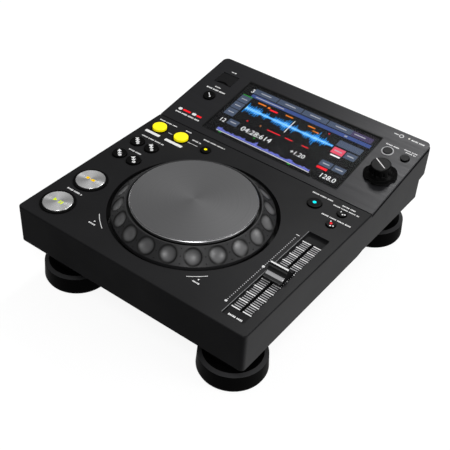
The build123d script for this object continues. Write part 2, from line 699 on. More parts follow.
def head_panel():
    """The brushed plate on the head, with its spacer and board posts underneath."""
    front = PANEL_INSET
    rear = HEAD_SLOPE - PANEL_INSET
    plate = slab((LEFT + PANEL_INSET, RIGHT - PANEL_INSET), (front, rear), (-PANEL_T, 0))
    uprights = plate.edges().filter_by(Axis.Z).group_by(Axis.Y)
    plate = fillet(uprights[-1], REAR_CORNER_R - PANEL_INSET)
    spacer = slab((LEFT + PANEL_SPACER_INSET, RIGHT - PANEL_SPACER_INSET),
                  (PANEL_SPACER_INSET, HEAD_SLOPE - PANEL_SPACER_INSET),
                  (-PANEL_DEPTH, -PANEL_T))
    uprights = spacer.edges().filter_by(Axis.Z).group_by(Axis.Y)
    spacer = fillet(uprights[-1], REAR_CORNER_R - PANEL_SPACER_INSET)
    panel = plate + spacer
    for x, s in HEAD_POSTS:
        panel = panel + Pos(x, s, 0) * disc(POST_R, -KEY_BOARD_DEPTH, -PANEL_DEPTH)
    for name, (x, s, radius, up, travel) in HEAD_KEYS.items():
        panel = panel - Pos(x, s, 0) * key_hole(name, radius, PANEL_DEPTH)
    screen = rounded_slab(SCREEN_W + 2 * REST_GAP, SCREEN_L + 2 * REST_GAP, GLASS_CORNER_R,
                          -PANEL_DEPTH - 1, 1)
    hinge_r = HATCH_T / 2
    hatch_front = -HATCH_L / 2 - SLIDE_GAP
    hatch_rear = HATCH_L / 2 + hinge_r + SLIDE_GAP
    hatch = slab((-HATCH_W / 2 - SLIDE_GAP, HATCH_W / 2 + SLIDE_GAP), (hatch_front, hatch_rear),
                 (-PANEL_DEPTH - 1, 1))
    panel = panel - Pos(SCREEN_X, SCREEN_S, 0) * screen - Pos(HATCH_X, HATCH_S, 0) * hatch
    bushing_r = SELECTOR_SHAFT_R + RUNNING_GAP + BUSHING_WALL
    panel = panel - Pos(KNOB_X, KNOB_S, 0) * disc(bushing_r + SLIDE_GAP, -PANEL_DEPTH - 1, 1)
    panel = panel - Pos(LIGHT_X, LIGHT_S, 0) * disc(LIGHT_R + SEAT_GAP, -PANEL_DEPTH - 1, 1)
    panel = panel - hatch_pin_rod(HATCH_PIN_R + SEAT_GAP)
    return HEAD * panel


def hatch_pin_rod(radius):
    """The hatch's hinge pin, on the head, at a radius."""
    length = HATCH_W + 2 * SLIDE_GAP + 2 * HATCH_PIN_GRIP
    height = HATCH_PROUD - HATCH_T / 2
    rod = Rot(0, 90, 0) * Cylinder(radius, length)
    return Pos(HATCH_X, HATCH_S + HATCH_L / 2, height) * rod


def bottom_tub():
    """The floor, the side wedges under the overhang and the rear wall."""
    inner_w = CASE_W - 2 * WALL - 2 * REST_GAP
    floor_front = FRONT + WALL + REST_GAP
    floor = slab((-inner_w / 2, inner_w / 2), (floor_front, REAR_WALL_Y - REAR_WALL_T / 2),
                 (CASE_BOTTOM, FLOOR_TOP))
    front_corners = floor.edges().filter_by(Axis.Z).group_by(Axis.Y)[0]
    floor = fillet(front_corners, FRONT_CORNER_R - WALL - REST_GAP)
    wedge_outline = [
        (UNDERCUT_Y, CASE_BOTTOM),
        (REAR_WALL_Y, CASE_BOTTOM),
        (REAR_WALL_Y, undercut_z(REAR_WALL_Y)),
    ]
    wedge = side_prism(wedge_outline, LEFT + WEDGE_INSET, RIGHT - WEDGE_INSET)
    rear_corners = wedge.edges().filter_by(Axis.Z)
    wedge = fillet(rear_corners, REAR_CORNER_R - WALL)
    room = slab((LEFT + WEDGE_INSET + REAR_WALL_T, RIGHT - WEDGE_INSET - REAR_WALL_T),
                (FRONT, REAR_WALL_Y - REAR_WALL_T), (FLOOR_TOP, DECK_TOP))
    tub = floor + (wedge - room)
    for x, y in STANDOFFS:
        tub = tub + Pos(x, y, 0) * disc(STANDOFF_R, FLOOR_TOP - 0.5, FLOOR_TOP + STANDOFF_H)
    for x, y in PILLARS:
        tub = tub - Pos(x, y, 0) * disc(CASE_SCREW_R + SLIDE_GAP, CASE_BOTTOM - 1, FLOOR_TOP + 1)
        tub = tub - Pos(x, y, 0) * disc(CASE_SCREW_HEAD_R + SLIDE_GAP, CASE_BOTTOM - 1,
                                        CASE_BOTTOM + FLOOR_T / 2)
    for x, y in FEET:
        tub = tub - Pos(x, y, 0) * disc(FOOT_SCREW_R + SLIDE_GAP, CASE_BOTTOM - 1, FLOOR_TOP + 1)
    for hole in rear_holes():
        tub = tub - hole
    return tub


# Boards on the floor, and the connectors along the rear wall
POWER_BOARD_X = (LEFT + BOARD_MARGIN, LEFT + BOARD_MARGIN + POWER_BOARD_W)
MAIN_BOARD_X = (POWER_BOARD_X[1] + BOARD_GAP, RIGHT - BOARD_MARGIN)
BOARD_Y = (HEAD_Y + BOARD_FRONT_GAP, REAR_WALL_Y - REAR_WALL_T - BOARD_REAR_GAP)
STANDOFFS = [(x, y)
             for x in (POWER_BOARD_X[0] + STANDOFF_EDGE, POWER_BOARD_X[1] - STANDOFF_EDGE,
                       MAIN_BOARD_X[0] + STANDOFF_EDGE, MAIN_BOARD_X[1] - STANDOFF_EDGE)
             for y in (BOARD_Y[0] + STANDOFF_EDGE, BOARD_Y[1] - STANDOFF_EDGE)]
INLET_X = LEFT + INLET_MARGIN
INLET_Z = BOARD_TOP + INLET_H / 2
POWER_KEY_X = LEFT + POWER_KEY_MARGIN
POWER_KEY_Z = BOARD_TOP + POWER_KEY_UP
POWER_STEM_Y = REAR_WALL_Y - REAR_WALL_T - POWER_STEM_L
USB_B_X = RIGHT - USB_B_MARGIN
LAN_X = RIGHT - LAN_MARGIN
JACKS_X = RIGHT - JACKS_MARGIN
JACK_Z = BOARD_TOP + JACK_UP
JACKS = (JACKS_X - JACK_PITCH / 2, JACKS_X + JACK_PITCH / 2)


def rear_holes():
    """The cut-outs in the rear wall, one for each connector and for the power key."""
    wall = (REAR_WALL_Y - REAR_WALL_T - 1, REAR_WALL_Y + 1)

    def window(x, z, width, height):
        return slab((x - width / 2, x + width / 2), wall, (z - height / 2, z + height / 2))

    holes = [
        window(INLET_X, INLET_Z, INLET_W + 2 * SEAT_GAP, INLET_H + 2 * SEAT_GAP),
        window(POWER_KEY_X, POWER_KEY_Z, POWER_KEY_W + 2 * SLIDE_GAP,
               POWER_KEY_H + 2 * SLIDE_GAP),
        window(USB_B_X, BOARD_TOP + USB_B_H / 2, USB_B_W + 2 * REST_GAP, USB_B_H + 2 * REST_GAP),
        window(LAN_X, BOARD_TOP + LAN_H / 2, LAN_W + 2 * REST_GAP, LAN_H + 2 * REST_GAP),
    ]
    for x in JACKS:
        holes.append(Pos(x, REAR_WALL_Y, JACK_Z) * Rot(90, 0, 0)
                     * Cylinder(JACK_R + REST_GAP, 3 * REAR_WALL_T))
    return holes


def screen_glass():
    """The touch glass, sunk in the panel's window."""
    top = -GLASS_DOWN
    glass = rounded_slab(SCREEN_W, SCREEN_L, GLASS_CORNER_R, top - GLASS_T, top)
    return HEAD * Pos(SCREEN_X, SCREEN_S, 0) * glass


def display_module():
    """The display: a frame under the panel with a raised face behind the glass."""
    face_w = SCREEN_W - 2 * REST_GAP
    face_l = SCREEN_L - 2 * REST_GAP
    face = rounded_slab(face_w, face_l, GLASS_CORNER_R, -PANEL_DEPTH - 0.5,
                        -GLASS_DOWN - GLASS_T)
    frame = slab((-SCREEN_W / 2 - MODULE_MARGIN, SCREEN_W / 2 + MODULE_MARGIN),
                 (-SCREEN_L / 2 - MODULE_MARGIN, SCREEN_L / 2 + MODULE_MARGIN),
                 (-PANEL_DEPTH - MODULE_T, -PANEL_DEPTH))
    return HEAD * Pos(SCREEN_X, SCREEN_S, 0) * (face + frame)


def display_bracket():
    """A sheet bracket behind the display with a flange up to the panel on each side."""
    half_w = SCREEN_W / 2 + MODULE_MARGIN + SLIDE_GAP
    half_l = SCREEN_L / 2
    back = -PANEL_DEPTH - MODULE_T
    plate = slab((-half_w - BRACKET_T, half_w + BRACKET_T), (-half_l, half_l),
                 (back - BRACKET_T, back))
    for side in (-1, 1):
        edges = sorted((side * half_w, side * (half_w + BRACKET_T)))
        plate = plate + slab(edges, (-half_l, half_l), (back - BRACKET_T, -PANEL_DEPTH))
    return HEAD * Pos(SCREEN_X, SCREEN_S, 0) * plate


def fader_tray():
    """The sloping floor of the fader's recess, with a slot and a flange under the deck."""
    front = FRONT + FADER_FRONT
    rear = front + FADER_RECESS_L
    half = FADER_RECESS_W / 2
    bottom = -FADER_DEPTH_REAR - FADER_TRAY_T
    block = fader_recess(REST_GAP, bottom, 0)
    above = side_prism(
        [(front, -FADER_DEPTH_FRONT), (rear, -FADER_DEPTH_REAR), (rear, 1), (front, 1)],
        FADER_X - half, FADER_X + half)
    flange = fader_recess(-FADER_FLANGE, -WALL - FADER_FLANGE_T, -WALL)
    flange = flange - fader_recess(REST_GAP, -WALL - FADER_FLANGE_T - 1, 0)
    slot = slab((FADER_X - SLOT_W / 2, FADER_X + SLOT_W / 2), FADER_SLOT_Y, (bottom - 1, 1))
    return DECK * ((block - above) + flange - slot)


FADER_SLOT_Y = (FADER_Y - FADER_TRAVEL - LEVER_W / 2 - SLIDE_GAP,
                FADER_Y + FADER_TRAVEL + LEVER_W / 2 + SLIDE_GAP)
FADER_BODY_TOP = -FADER_DEPTH_REAR - FADER_TRAY_T
CARRIAGE_TOP = FADER_BODY_TOP - FADER_BODY_WALL - STOP_GAP
FADER_ROOM_HALF = FADER_TRAVEL + CARRIAGE_L / 2 + CARRIAGE_END_GAP
LEVER_TOP = FADER_CAP_TOP - LEVER_IN_CAP


def fader_body():
    """The metal channel of the slide fader, hung under the tray."""
    room_w = CARRIAGE_W / 2 + STOP_GAP
    room_low = CARRIAGE_TOP - CARRIAGE_H - STOP_GAP
    outer_w = room_w + FADER_BODY_WALL
    outer_l = FADER_ROOM_HALF + FADER_BODY_WALL
    body = slab((FADER_X - outer_w, FADER_X + outer_w), (FADER_Y - outer_l, FADER_Y + outer_l),
                (room_low - FADER_BODY_WALL, FADER_BODY_TOP))
    room = slab((FADER_X - room_w, FADER_X + room_w),
                (FADER_Y - FADER_ROOM_HALF, FADER_Y + FADER_ROOM_HALF),
                (room_low, FADER_BODY_TOP - FADER_BODY_WALL))
    slot = slab((FADER_X - SLOT_W / 2, FADER_X + SLOT_W / 2), FADER_SLOT_Y,
                (room_low + 1, FADER_BODY_TOP + 1))
    return DECK * (body - room - slot)


def fader_lever():
    """The carriage in the channel and the lever that stands up through the slot."""
    carriage = slab((-CARRIAGE_W / 2, CARRIAGE_W / 2), (-CARRIAGE_L / 2, CARRIAGE_L / 2),
                    (CARRIAGE_TOP - CARRIAGE_H, CARRIAGE_TOP))
    lever = slab((-LEVER_T / 2, LEVER_T / 2), (-LEVER_W / 2, LEVER_W / 2),
                 (CARRIAGE_TOP - 1, LEVER_TOP))
    return DECK * Pos(FADER_X, FADER_Y, 0) * (carriage + lever)


def fader_cap():
    """The cap: hollowed flanks that rise to a narrow ridge across its middle."""
    half = FADER_CAP_L / 2
    ridge = FADER_RIDGE_W / 2
    side = FADER_CAP_BOTTOM + FADER_CAP_SIDE_H
    mid_y = (half + ridge) * 0.42
    mid_z = side + (FADER_CAP_TOP - side) * 0.26
    rise = ThreePointArc((half, side), (mid_y, mid_z), (ridge, FADER_CAP_TOP))
    fall = ThreePointArc((-ridge, FADER_CAP_TOP), (-mid_y, mid_z), (-half, side))
    outline = [
        Line((-half, FADER_CAP_BOTTOM), (half, FADER_CAP_BOTTOM)),
        Line((half, FADER_CAP_BOTTOM), (half, side)),
        rise,
        Line((ridge, FADER_CAP_TOP), (-ridge, FADER_CAP_TOP)),
        fall,
        Line((-half, side), (-half, FADER_CAP_BOTTOM)),
    ]
    cap = extrude(make_face(Plane.YZ * Curve(outline)), amount=FADER_CAP_W / 2, both=True)
    pocket = slab((-LEVER_T / 2 - SEAT_GAP, LEVER_T / 2 + SEAT_GAP),
                  (-LEVER_W / 2 - SEAT_GAP, LEVER_W / 2 + SEAT_GAP),
                  (FADER_CAP_BOTTOM - 1, LEVER_TOP + SEAT_GAP))
    return DECK * Pos(FADER_X, FADER_Y, 0) * (cap - pocket)


def gear_outline(teeth):
    """The outline of a spur gear, with straight flanks at 20 degrees."""
    pitch_r = GEAR_MODULE * teeth / 2
    half = math.pi * GEAR_MODULE / 4 - GEAR_BACKLASH / 2
    lean = math.tan(math.radians(20))
    steps = [(-1.25, -1), (0.9, -1), (0.9, 1), (-1.25, 1)]
    points = []
    for tooth in range(teeth):
        middle = 2 * math.pi * tooth / teeth
        for height, side in steps:
            radius = pitch_r + height * GEAR_MODULE
            angle = middle + side * (half - height * GEAR_MODULE * lean) / pitch_r
            points.append((radius * math.cos(angle), radius * math.sin(angle)))
    return make_face(Polyline(*points, close=True))


JOG_AXIS = DECK * Pos(JOG_X, JOG_Y, 0)
GEAR_CENTRES = GEAR_MODULE * (JOG_GEAR_TEETH + ENCODER_GEAR_TEETH) / 2
ENCODER_AT = Pos(GEAR_CENTRES * math.cos(math.radians(ENCODER_ANGLE)),
                 GEAR_CENTRES * math.sin(math.radians(ENCODER_ANGLE)), 0)
BASE_TOP = -JOG_BASE_DEPTH
TOWER_TOP = HUB_UP - TOWER_DROP
GEAR_TOP = -GEAR_DEPTH
BEARING_R = JOG_SHAFT_R + RUNNING_GAP + BEARING_T
TOWER_R = BEARING_R + TOWER_WALL
HUB_BORE_R = TOWER_R + TOWER_GAP
HUB_TOP = HUB_UP + HUB_T
SENSOR_TOP = JOG_PLATE_TOP - JOG_PLATE_T - JOG_PRESS - SENSOR_GAP
ENCODER_BODY_TOP = GEAR_TOP - GEAR_T - ENCODER_GEAR_GAP
KNOB_SHAFT_TOP = KNOB_TOP - KNOB_TOP_T


def jog_base():
    """The dish under the jog wheel, with the tower that carries its bearings."""
    wall_in = JOG_HOLE_R + JOG_WALL_GAP
    floor = disc(wall_in + WALL, BASE_TOP - JOG_BASE_T, BASE_TOP)
    wall = ring(wall_in + WALL, wall_in, BASE_TOP - 0.5, -WALL)
    tower = disc(TOWER_R, BASE_TOP - 0.5, TOWER_TOP)
    bore = disc(BEARING_R + SEAT_GAP, BASE_TOP, TOWER_TOP + 1)
    return JOG_AXIS * ((floor + wall + tower) - bore)


def jog_bearings():
    """Two plain bearings pressed into the tower, one at each end."""
    low = ring(BEARING_R, JOG_SHAFT_R + RUNNING_GAP, BASE_TOP, BASE_TOP + BEARING_L)
    high = ring(BEARING_R, JOG_SHAFT_R + RUNNING_GAP, TOWER_TOP - BEARING_L, TOWER_TOP)
    return JOG_AXIS * Compound([low, high])


def jog_shaft():
    """The shaft, with a shoulder under the hub that rides on the top bearing."""
    shaft = disc(JOG_SHAFT_R, BASE_TOP + SLIDE_GAP, HUB_TOP)
    shoulder = disc(JOG_SHAFT_R + JOG_SHOULDER_T, TOWER_TOP + REST_GAP, HUB_UP)
    return JOG_AXIS * (shaft + shoulder)


def jog_hub():
    """The hub disc, its tube round the tower and the guide collar for the plate."""
    plate = disc(JOG_RING_INNER_R + JOG_RING_T, HUB_UP, HUB_TOP)
    tube = ring(HUB_BORE_R + HUB_TUBE_T, HUB_BORE_R, GEAR_TOP, HUB_UP + 0.5)
    collar = ring(PRESS_POST_R + RUNNING_GAP + HUB_COLLAR_T, PRESS_POST_R + RUNNING_GAP,
                  HUB_TOP - 0.5, SENSOR_TOP)
    bore = disc(JOG_SHAFT_R + SEAT_GAP, HUB_UP - 1, HUB_TOP + 1)
    post_room = disc(PRESS_POST_R + RUNNING_GAP, HUB_TOP, SENSOR_TOP + 1)
    return JOG_AXIS * (plate + tube + collar - bore - post_room)


def jog_gear():
    """The large gear under the hub's tube, around the tower."""
    gear = extrude(gear_outline(JOG_GEAR_TEETH), amount=GEAR_T)
    turn = Rot(0, 0, ENCODER_ANGLE)
    gear = Pos(0, 0, GEAR_TOP - GEAR_T) * turn * gear
    return JOG_AXIS * (gear - disc(HUB_BORE_R, GEAR_TOP - GEAR_T - 1, GEAR_TOP + 1))


def encoder_gear():
    """The small gear in mesh with the large one, with its pin."""
    gear = extrude(gear_outline(ENCODER_GEAR_TEETH), amount=GEAR_T)
    half_tooth = 180 / ENCODER_GEAR_TEETH
    turn = Rot(0, 0, ENCODER_ANGLE + 180 + half_tooth)
    gear = Pos(0, 0, GEAR_TOP - GEAR_T) * turn * gear
    pin = disc(ENCODER_PIN_R, BASE_TOP + JOG_BASE_T / 2, GEAR_TOP)
    collar = disc(ENCODER_PIN_R + ENCODER_COLLAR_T, ENCODER_BODY_TOP + REST_GAP,
                  GEAR_TOP - GEAR_T + 0.5)
    return JOG_AXIS * ENCODER_AT * (gear + pin + collar)


def encoder_body():
    """The encoder that reads the small gear, on the dish's floor."""
    half = ENCODER_BOX / 2
    body = slab((-half, half), (-half, half), (BASE_TOP, ENCODER_BODY_TOP))
    bore = disc(ENCODER_PIN_R + RUNNING_GAP, BASE_TOP + JOG_BASE_T / 2 - REST_GAP, 0)
    return JOG_AXIS * ENCODER_AT * (body - bore)


def jog_ring():
    """The sloping ring with its finger dimples."""
    inner = JOG_RING_INNER_R
    flat = inner + JOG_RING_FLAT
    run = JOG_RING_R - flat
    drop = JOG_RING_TOP - JOG_RING_SKIRT_UP
    slope = math.hypot(run, drop)
    out = (drop / slope, run / slope)
    seat_r = inner + JOG_RING_T
    skirt_r = JOG_RING_R - JOG_RING_SKIRT_T

    def under(radius):
        """Height of the sloping wall's lower face."""
        return JOG_RING_TOP - (radius - flat + JOG_RING_T * out[0]) * drop / run \
            - JOG_RING_T * out[1]

    outline = [
        (inner, HUB_TOP),
        (inner, JOG_RING_TOP - JOG_RING_CHAMFER),
        (inner + JOG_RING_CHAMFER, JOG_RING_TOP),
        (flat, JOG_RING_TOP),
        (JOG_RING_R, JOG_RING_SKIRT_UP),
        (JOG_RING_R, -JOG_RING_SKIRT_DEPTH),
        (skirt_r, -JOG_RING_SKIRT_DEPTH),
        (skirt_r, under(skirt_r)),
        (seat_r, under(seat_r)),
        (seat_r, HUB_TOP),
    ]
    body = turned(outline)
    ball_r = (DIMPLE_R ** 2 + DIMPLE_DEPTH ** 2) / (2 * DIMPLE_DEPTH)
    reach = ball_r - DIMPLE_DEPTH
    middle_r = (flat + JOG_RING_R) / 2
    middle_z = (JOG_RING_TOP + JOG_RING_SKIRT_UP) / 2
    for number in range(DIMPLES):
        turn = Rot(0, 0, DIMPLE_START + 360 * number / DIMPLES)
        centre = Pos(middle_r + reach * out[0], 0, middle_z + reach * out[1])
        body = body - turn * centre * Sphere(ball_r)
    return JOG_AXIS * body


def jog_press_sensor():
    """The ring on the hub that feels the plate being pressed."""
    return JOG_AXIS * ring(SENSOR_OUT_R, SENSOR_IN_R, HUB_TOP, SENSOR_TOP)


def jog_plate():
    """The touch plate, chamfered below its rim, with its guide post."""
    low = JOG_PLATE_TOP - JOG_PLATE_T
    plate = disc(JOG_PLATE_R, low, JOG_PLATE_TOP)
    plate = fillet(plate.edges().sort_by(Axis.Z)[-1], JOG_PLATE_EDGE_R)
    plate = chamfer(plate.edges().sort_by(Axis.Z)[0], JOG_PLATE_CHAMFER)
    post = disc(PRESS_POST_R, HUB_TOP + JOG_PRESS + SLIDE_GAP, low + 0.5)
    return JOG_AXIS * (plate + post)


def selector_knob():
    """The knob: a notched skirt, a flared waist and a fluted grip."""
    outline = [
        (0, KNOB_LOW),
        (KNOB_SKIRT_R - KNOB_SKIRT_EDGE, KNOB_LOW),
        (KNOB_SKIRT_R, KNOB_LOW + KNOB_SKIRT_EDGE),
        (KNOB_SKIRT_R - KNOB_CROWN, KNOB_LOW + KNOB_SKIRT_T),
        (KNOB_WAIST_R + KNOB_FLARE, KNOB_LOW + KNOB_SKIRT_T + KNOB_FLARE_UP),
        (KNOB_WAIST_R, KNOB_SHOULDER),
        (KNOB_TOP_R + KNOB_EDGE, KNOB_TOP - KNOB_CROWN),
        (KNOB_TOP_R - KNOB_EDGE, KNOB_TOP),
        (0, KNOB_TOP),
    ]
    knob = turned(outline)
    for number in range(KNOB_FLUTES):
        turn = Rot(0, 0, 360 * (number + 0.5) / KNOB_FLUTES)
        flute = Pos(KNOB_WAIST_R + KNOB_FLUTE_OUT, 0, 0) * disc(
            KNOB_FLUTE_R, KNOB_SHOULDER + KNOB_FLUTE_UP, KNOB_TOP + 1)
        knob = knob - turn * flute
    for number in range(KNOB_NOTCHES):
        turn = Rot(0, 0, KNOB_NOTCH_START + 360 * number / KNOB_NOTCHES)
        notch = Pos(KNOB_SKIRT_R + KNOB_NOTCH_R - KNOB_NOTCH_DEPTH, 0, 0) * disc(
            KNOB_NOTCH_R, KNOB_LOW - 1, KNOB_SHOULDER)
        knob = knob - turn * notch
    recess_r = SELECTOR_SHAFT_R + RUNNING_GAP + BUSHING_WALL + KNOB_RECESS_T
    knob = knob - disc(recess_r, KNOB_LOW - 1, KNOB_LOW + KNOB_RECESS_DEPTH)
    knob = knob - disc(SELECTOR_SHAFT_R + SEAT_GAP, KNOB_LOW - 1, KNOB_SHAFT_TOP + SEAT_GAP)
    return HEAD * Pos(KNOB_X, KNOB_S, 0) * knob


SELECTOR_LOW = -KEY_BOARD_DEPTH
SELECTOR_BODY_TOP = SELECTOR_LOW + SELECTOR_BOX_H
ROTOR_LOW = SELECTOR_LOW + ROTOR_UP
SHOULDER_UP = ROTOR_LOW + ROTOR_T + KEY_TRAVEL + STOP_GAP


def selector_shaft():
    """The selector's shaft, round above and square in the rotor."""
    round_part = disc(SELECTOR_SHAFT_R, SHOULDER_UP, KNOB_SHAFT_TOP)
    half = ROTOR_SQUARE / 2
    square = slab((-half, half), (-half, half), (ROTOR_LOW + STOP_GAP, SHOULDER_UP + 0.5))
    return HEAD * Pos(KNOB_X, KNOB_S, 0) * (round_part + square)


def selector_rotor():
    """The disc in the selector's body that turns with the shaft."""
    half = ROTOR_SQUARE / 2 + RUNNING_GAP
    rotor = disc(ROTOR_R, ROTOR_LOW, ROTOR_LOW + ROTOR_T)
    hole = slab((-half, half), (-half, half), (ROTOR_LOW - 1, ROTOR_LOW + ROTOR_T + 1))
    return HEAD * Pos(KNOB_X, KNOB_S, 0) * (rotor - hole)


def selector_body():
    """The rotary encoder's case and its bushing through the panel."""
    half = SELECTOR_BOX / 2
    case = slab((-half, half), (-half, half), (SELECTOR_LOW, SELECTOR_BODY_TOP))
    bushing_r = SELECTOR_SHAFT_R + RUNNING_GAP + BUSHING_WALL
    bushing = disc(bushing_r, SELECTOR_BODY_TOP - 0.5, KNOB_LOW - KEY_TRAVEL)
    room = disc(ROTOR_R + RUNNING_GAP, ROTOR_LOW - STOP_GAP, ROTOR_LOW + ROTOR_T + STOP_GAP)
    pocket = disc(ROTOR_SQUARE * 0.75, SELECTOR_LOW + SELECTOR_FLOOR_T, ROTOR_LOW)
    bore = disc(SELECTOR_SHAFT_R + RUNNING_GAP, ROTOR_LOW + ROTOR_T, KNOB_LOW)
    return HEAD * Pos(KNOB_X, KNOB_S, 0) * (case + bushing - room - pocket - bore)


def usb_hatch():
    """The lid over the USB well, rounded about its pin at the rear edge."""
    top = HATCH_PROUD
    half_l = HATCH_L / 2
    axis_z = top - HATCH_T / 2
    lid = slab((-HATCH_W / 2, HATCH_W / 2), (-half_l, half_l), (top - HATCH_T, top))
    front_corners = lid.edges().filter_by(Axis.Z).group_by(Axis.Y)[0]
    lid = fillet(front_corners, HATCH_CORNER_R)
    barrel = Pos(0, half_l, axis_z) * Rot(0, 90, 0) * Cylinder(HATCH_T / 2, HATCH_W)
    scoop_r = ((HATCH_SCOOP_W / 2) ** 2 + HATCH_SCOOP_L ** 2) / (2 * HATCH_SCOOP_L)
    scoop = Pos(0, HATCH_SCOOP_L - half_l - scoop_r, 0) * disc(
        scoop_r, top - HATCH_SCOOP_T, top + 1)
    pin_hole = Pos(0, half_l, axis_z) * Rot(0, 90, 0) * Cylinder(HATCH_PIN_R + RUNNING_GAP,
                                                                HATCH_W + 2)
    return HEAD * Pos(HATCH_X, HATCH_S, 0) * (lid + barrel - scoop - pin_hole)


def usb_well():
    """The well under the hatch, with a seat for the lid and a hole for the socket."""
    half_w = HATCH_W / 2 + SLIDE_GAP - REST_GAP
    front = -HATCH_L / 2 - SLIDE_GAP + REST_GAP
    rear = HATCH_L / 2 - HATCH_T / 2 - WELL_REAR_GAP
    seat = HATCH_PROUD - HATCH_T - REST_GAP
    floor = -WELL_DEPTH
    block = slab((-half_w, half_w), (front, rear), (floor - WELL_WALL, seat))
    room = slab((-half_w + WELL_WALL, half_w - WELL_WALL), (front + WELL_WALL, rear - WELL_WALL),
                (floor, seat + 1))
    flange = slab((-half_w - WELL_FLANGE, half_w + WELL_FLANGE),
                  (front - WELL_FLANGE, HATCH_L / 2 + HATCH_T / 2 + WELL_FLANGE),
                  (-PANEL_DEPTH - WELL_FLANGE_T, -PANEL_DEPTH))
    socket_hole = slab((-USB_A_W / 2 - REST_GAP, USB_A_W / 2 + REST_GAP),
                       (USB_A_S - USB_A_T / 2 - REST_GAP, USB_A_S + USB_A_T / 2 + REST_GAP),
                       (floor - WELL_WALL - 1, floor + 1))
    well = block + flange - room - socket_hole
    return HEAD * Pos(HATCH_X, HATCH_S, 0) * well


def usb_host_socket():
    """The upright USB socket in the well's floor, with its tongue."""
    half_w = USB_A_W / 2
    half_t = USB_A_T / 2
    top = -WELL_DEPTH + USB_A_PROUD
    low = -WELL_DEPTH - USB_A_DEPTH
    shell = slab((-half_w, half_w), (-half_t, half_t), (low, top))
    mouth = slab((-half_w + USB_WALL, half_w - USB_WALL), (-half_t + USB_WALL, half_t - USB_WALL),
                 (low + USB_A_BACK_T, top + 1))
    tongue = slab((-half_w + TONGUE_SIDE, half_w - TONGUE_SIDE),
                  (-half_t + TONGUE_LOW, -half_t + TONGUE_LOW + TONGUE_T),
                  (low + USB_A_BACK_T - 0.5, top - TONGUE_SHORT))
    lip = slab((-half_w - USB_A_LIP, half_w + USB_A_LIP), (-half_t - USB_A_LIP, half_t + USB_A_LIP),
               (-WELL_DEPTH - WELL_WALL - USB_A_LIP, -WELL_DEPTH - WELL_WALL))
    socket = (shell + lip) - mouth + tongue
    return HEAD * Pos(HATCH_X, HATCH_S + USB_A_S, 0) * socket


def standby_light():
    """The small lens of the standby light."""
    lens = disc(LIGHT_R, -PANEL_DEPTH, LIGHT_PROUD)
    flange = disc(LIGHT_R + LIGHT_FLANGE, -PANEL_DEPTH - LIGHT_FLANGE_T, -PANEL_DEPTH)
    return HEAD * Pos(LIGHT_X, LIGHT_S, 0) * (lens + flange)


def left_key_board():
    """The board under the left keys, with a wing out to the reloop key."""
    low = -KEY_BOARD_DEPTH - BOARD_T
    board = slab(LEFT_BOARD_X, LEFT_BOARD_Y, (low, -KEY_BOARD_DEPTH))
    wing_x = (LEFT_WING_X[0] - 1, LEFT_WING_X[1])
    return DECK * (board + slab(wing_x, LEFT_WING_Y, (low, -KEY_BOARD_DEPTH)))


def right_key_board():
    """The board under the tempo and vinyl keys."""
    low = -KEY_BOARD_DEPTH - BOARD_T
    return DECK * slab(RIGHT_BOARD_X, RIGHT_BOARD_Y, (low, -KEY_BOARD_DEPTH))


def head_boards():
    """The two small boards under the head, for the stop key and round the selector."""
    depth = (-KEY_BOARD_DEPTH - BOARD_T, -KEY_BOARD_DEPTH)
    stop = HEAD * slab(STOP_BOARD_X, STOP_BOARD_S, depth)
    knob = HEAD * slab(KNOB_BOARD_X, KNOB_BOARD_S, depth)
    return Compound([stop, knob])


def key_switches():
    """One tact switch under every key."""
    switches = [DECK * Pos(x, y, 0) * switch() for x, y, *_ in DECK_KEYS.values()]
    switches += [HEAD * Pos(x, s, 0) * switch() for x, s, *_ in HEAD_KEYS.values()]
    return Compound(switches)


def floor_board(x_range):
    """A board on the floor's standoffs."""
    return slab(x_range, BOARD_Y, (BOARD_TOP - BOARD_T, BOARD_TOP))


def main_board():
    """The main board with its processor under a heat spreader."""
    right = MAIN_BOARD_X[1] - SPREADER_EDGE
    front = BOARD_Y[0] + PART_FRONT
    spreader = slab((right - SPREADER_W, right), (front, front + SPREADER_L),
                    (BOARD_TOP, BOARD_TOP + SPREADER_H))
    return floor_board(MAIN_BOARD_X) + spreader


def power_board():
    """The power board with its transformer, capacitor and power switch."""
    left = POWER_BOARD_X[0] + TRANSFORMER_EDGE
    front = BOARD_Y[0] + PART_FRONT
    transformer = slab((left, left + TRANSFORMER_W), (front, front + TRANSFORMER_L),
                       (BOARD_TOP, BOARD_TOP + TRANSFORMER_H))
    capacitor = Pos(POWER_BOARD_X[1] - CAPACITOR_EDGE, front + 1.5 * CAPACITOR_R, 0) * disc(
        CAPACITOR_R, BOARD_TOP, BOARD_TOP + CAPACITOR_H)
    plunger_end = POWER_STEM_Y - POWER_KEY_TRAVEL - STOP_GAP
    switch_end = plunger_end - POWER_PLUNGER_L
    half_w = POWER_SWITCH_W / 2
    switch_body = slab((POWER_KEY_X - half_w, POWER_KEY_X + half_w),
                       (switch_end - POWER_SWITCH_L, switch_end),
                       (BOARD_TOP, POWER_KEY_Z + POWER_SWITCH_UP))
    plunger = Pos(POWER_KEY_X, 0, POWER_KEY_Z) * along_y(
        POWER_PLUNGER_R, switch_end - 1, plunger_end)
    return floor_board(POWER_BOARD_X) + transformer + capacitor + switch_body + plunger


